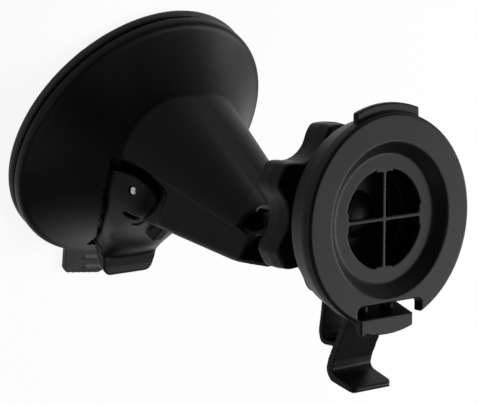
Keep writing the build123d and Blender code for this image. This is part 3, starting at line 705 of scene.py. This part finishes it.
# ---- Lever pin.
# Plated steel pin with turned ends, pushed through both ears and the arm.
# Its end shows as a bright dot in the black ear.
pin_r, pin_half, bevel = 1.2, 19.6, 0.25
pin_piece = turned("lever_pin_turned", [
    (0, -pin_half), (pin_r - bevel, -pin_half), (pin_r, -pin_half + bevel),
    (pin_r, pin_half - bevel), (pin_r - bevel, pin_half), (0, pin_half)], pin, 64)
fitted(pin_piece, "cup", "zinc_plated_steel", zinc, "lever_pin")

# ---- Ball joint.
# A steel ball on a neck moulded into the arm, held between two acetal seats. Only the front
# seat's dome shows, deep in the dock's window; the CAD forms are kept.
dressed(zinc, "ball_stud")
dressed(acetal, "ball_seat_rear", "ball_seat_front")

# ---- Socket and drum.
# The drum behind the dock's face runs into a slit, threaded collet that the nut squeezes on
# the ball. One ABS moulding with a generous round at its back edge, cut flat above the latch.
face = Vector(joint["ball_roll"]["axis"])
upward = Vector(joint["ball_swing"]["axis"])
ball_back = 22.0                        # the ball's centre behind the dock's face
dock = Matrix((Vector((1, 0, 0)), upward, face)).transposed().to_4x4()
dock.translation = (ball_c + face * ball_back) * mm


def spun(degrees):
    """The dock's place turned about its own axis."""
    return dock @ Matrix.Rotation(radians(degrees), 4, "Z")


plate_t = 3.0
drum_r, drum_back_r, drum_back, drum_wall = 27.3, 24.9, 10.8, 1.8
collet_r, collet_end, collet_bevel = 14.5, 26.3, 2.1
well_r, well_back = 12.2, 13.4
seat_r = 10.3
flat_b = -20.6                          # the drum is cut flat here, above the latch
shelf_half, shelf_back = 6.9, 17.2
slit_half = 0.7

drum_side = rounded([(drum_r, -plate_t, 0), (drum_back_r, -drum_back, 2.6), (0, -drum_back, 0)])
cavity = worked(
    turned("cavity", [(0, 0), (drum_r - drum_wall, 0), (drum_back_r - drum_wall, -drum_back + drum_wall),
                      (0, -drum_back + drum_wall)], dock),
    ("DIFFERENCE", slab("flat", (-40, 40), (-40, flat_b + drum_wall), (-30, 2), dock)))
collet = turned("collet", [
    (0, -drum_back + 1), (collet_r, -drum_back + 1), (collet_r, -collet_end + collet_bevel),
    (collet_r - collet_bevel, -collet_end), (0, -collet_end)], dock)
shelf = slab("shelf", (-shelf_half, shelf_half), (flat_b, -collet_r + 2),
             (-shelf_back, -drum_back + 1), dock)
ball_room = turned("ball_room", [
    (seat_r * sin(pi * i / 32), -ball_back - seat_r * cos(pi * i / 32)) for i in range(33)], dock)
socket = worked(
    turned("socket_drum", [(0, -plate_t), (drum_r, -plate_t)] + drum_side[1:], dock),
    ("DIFFERENCE", cavity),
    ("UNION", collet),
    ("UNION", shelf),
    ("DIFFERENCE", ball_room),
    ("DIFFERENCE", disc("well", well_r, -well_back, 0, dock)),
    ("DIFFERENCE", slab("flat", (-40, 40), (-far, flat_b), (-30, 2), dock)))
for i in range(6):
    slit = slab("slit", (-slit_half, slit_half), (0, 30), (-40, -17), spun(30 + 60 * i))
    worked(socket, ("DIFFERENCE", slit))
moulded(socket, 0.32)
fitted(socket, "head", "satin_black_abs", abs_black, "socket_body")

# ---- Dock plate.
# Black ABS disc that carries the navigator: a dished recess with a crossed window, a hook at
# the top and a notch below for the latch.
plate_r = 27.5
dish_r, floor_r = 19.7, 16.9            # the recess at its mouth and at its floor
floor_c, floor_back = -2.6, -4.2        # front and back of its floor
hole_r, bar_half, tab_half = 12.9, 0.55, 2.75
hook_r, hook_half, hook_c = 29.9, 10.7, (-3.1, -1.5)
boss_r, boss_at = 2.6, 19.6
notch_half, notch_top = 11.1, -21.3

plate = turned("dock_face_plate", [
    (hole_r, floor_back), (floor_r + 1.6, floor_back), (floor_r + 1.6, -plate_t), (plate_r, -plate_t),
    (plate_r, -0.5), (plate_r - 0.5, 0), (dish_r + 0.5, 0), (dish_r, -0.25),
    (floor_r + 0.3, floor_c + 0.2), (floor_r - 0.2, floor_c), (hole_r, floor_c)], dock)
hook = worked(disc("hook", hook_r, *hook_c, dock),
              ("INTERSECT", slab("hook_span", (-hook_half, hook_half), (20, 40), (-9, 9), dock)))
worked(plate, ("UNION", hook))
for i in range(4):
    start = 0 if i else -0.5
    depth = (floor_back, floor_c)
    worked(plate,
           ("UNION", slab("bar", (start, hole_r + 1), (-bar_half, bar_half), depth, spun(90 * i))),
           ("UNION", slab("bar_tab", (hole_r - 0.8, hole_r + 1), (-tab_half, tab_half), depth,
                          spun(90 * i))))
for i in range(4):
    place = spun(45 + 90 * i) @ Matrix.Translation((boss_at * mm, 0, 0))
    worked(plate, ("UNION", disc("boss", boss_r, -drum_back + drum_wall + 0.4, -2.5, place)))
notch = rounded([(-notch_half, -40, 0), (-notch_half, notch_top, 1.5), (notch_half, notch_top, 1.5),
                 (notch_half, -40, 0)])
worked(plate, ("DIFFERENCE", prism("notch", notch, -9, 9, dock)))
moulded(plate, 0.25, 3)
fitted(plate, "head", "satin_black_abs", abs_black, "dock_plate")
dressed(zinc, "plate_screws", "latch_screws")

# ---- Clamp nut.
# Six-lobed black ABS nut on the collet. Both halves of the mould draft away from a parting
# line near the front of the lobes, so the flanks break along it.
lobes = 6
tip_r, scallop_at, scallop_r = 22.6, 26.0, 9.0
front_c, split_c, back_c = -20.0, -24.0, -28.5
draft = sin(radians(4))
edge_round = 0.5
bore_r, mouth_r = collet_r + 0.1, 12.0


def lobed(inset, c):
    """Outline of the nut at a depth: round tips joined by hollow scallops."""
    reach = []
    for i in range(360):
        off = (radians(i) + pi / lobes) % (2 * pi / lobes) - pi / lobes
        side = scallop_at * sin(off)
        hollow = scallop_at * cos(off) - sqrt(scallop_r**2 - side**2) if abs(side) < scallop_r else tip_r
        reach.append(min(tip_r, hollow))
    soft = [sum(reach[(i + k) % 360] for k in range(-4, 5)) / 9 - inset for i in range(360)]
    return [(r * cos(radians(i)), r * sin(radians(i)), c) for i, r in enumerate(soft)]


nut = lofted("clamp_nut_lobed", [
    lobed((front_c - split_c) * draft + edge_round, front_c),
    lobed((front_c - edge_round - split_c) * draft, front_c - edge_round),
    lobed(0, split_c),
    lobed((split_c - back_c - edge_round) * draft, back_c + edge_round),
    lobed((split_c - back_c) * draft + edge_round, back_c)], dock)
worked(nut, ("DIFFERENCE", turned("bore", [
    (0, 0), (bore_r, 0), (bore_r, -24.7), (mouth_r, -27.3), (mouth_r, -40), (0, -40)], dock)))
moulded(nut, 0.3)
fitted(nut, "nut", "satin_black_abs", abs_black, "clamp_nut")

# ---- Release latch.
# One springy ABS strap: its rear leg is screwed to the drum, it doubles back at the bottom
# into the front leg, and that leg carries the finger pad and the catch head.
side = dock @ Matrix(((0, 0, 1, 0), (0, 1, 0, 0), (1, 0, 0, 0), (0, 0, 0, 1)))
leg_half, head_half, head_r = 6.85, 8.9, 29.7
rib_at, rib_half, rib_top, rib_c = 4.35, 0.55, -21.4, (-4.2, -8.2)
screw_x, screw_b, screw_r = 4.0, -18.2, 1.0
tooth_x, tooth_b, tooth_c = (-9.0, -7.8), (-29.3, -26), (-2.1, -1.0)
pad_front, pad_corner = -6.1, 1.8

# side views, as (depth behind the dock's face, height)
front_leg = prism("latch_strap", rounded([
    (-8.6, -23.6, 0.4), (-10.4, -27.1, 1), (-14.0, -33.7, 4), (-15.9, -37.4, 4), (-16.9, -41.0, 3),
    (-14.9, -43.4, 3), (-6.3, -45.4, 0.5), (-6.0, -43.9, 0.5), (-13.0, -41.8, 1.2), (-14.6, -40.7, 1.2),
    (-13.9, -38.2, 4), (-12.0, -34.2, 4), (-10.2, -30.5, 4), (-8.3, -27.0, 0.5), (-7.4, -23.6, 0.3)]),
    -leg_half, leg_half, side)
rear_leg = prism("rear_leg", rounded([
    (-18.6, -15.6, 0.4), (-18.7, -23.5, 4), (-19.1, -26.7, 6), (-19.8, -30.8, 4), (-19.2, -33.4, 1.6),
    (-17.6, -34.2, 1.6), (-14.4, -34.1, 0.3), (-13.4, -33.2, 0.2), (-13.9, -32.9, 0.3), (-17.4, -32.9, 0.8),
    (-18.5, -31.4, 1.0), (-17.8, -26.7, 6), (-17.3, -23.5, 4), (-17.3, -15.6, 0.4)]),
    -leg_half, leg_half, side)
head = worked(
    prism("catch_head", [(-1.0, -25.1), (-7.5, -23.0), (-8.9, -23.6), (-8.9, -24.9), (-7.4, -24.7),
                         (-3.2, -26.8), (-3.2, -33), (-1.0, -33)], -head_half, head_half, side),
    ("INTERSECT", disc("head_round", head_r, -20, 0, dock)))
pad_plan = rounded([(-leg_half, -20, 0), (-leg_half, pad_front, pad_corner),
                    (leg_half, pad_front, pad_corner), (leg_half, -20, 0)])
pad_end = worked(slab("pad_end", (-9, 9), (-50, -41.5), (-9.5, -4), dock),
                 ("DIFFERENCE", prism("pad_plan", pad_plan, 38, 54, dock @ upended)))
worked(front_leg, ("UNION", rear_leg), ("UNION", head), ("DIFFERENCE", pad_end),
       ("UNION", slab("tooth", tooth_x, tooth_b, tooth_c, dock)))
for x in (-rib_at, rib_at):
    rib = rounded([(rib_c[0], -26, 0), (rib_c[0], rib_top, 1.6),
                   (rib_c[1], rib_top, 1.6), (rib_c[1], -26, 0)])
    worked(front_leg, ("UNION", prism("rib", rib, x - rib_half, x + rib_half, side)))
for x in (-screw_x, screw_x):
    place = dock @ Matrix.Translation((x * mm, screw_b * mm, 0))
    worked(front_leg, ("DIFFERENCE", disc("screw_hole", screw_r, -30, -16, place)))
moulded(front_leg, 0.22, 3)
fitted(front_leg, None, "satin_black_abs", abs_black, "latch_spring", "release_latch")
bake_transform(front_leg)
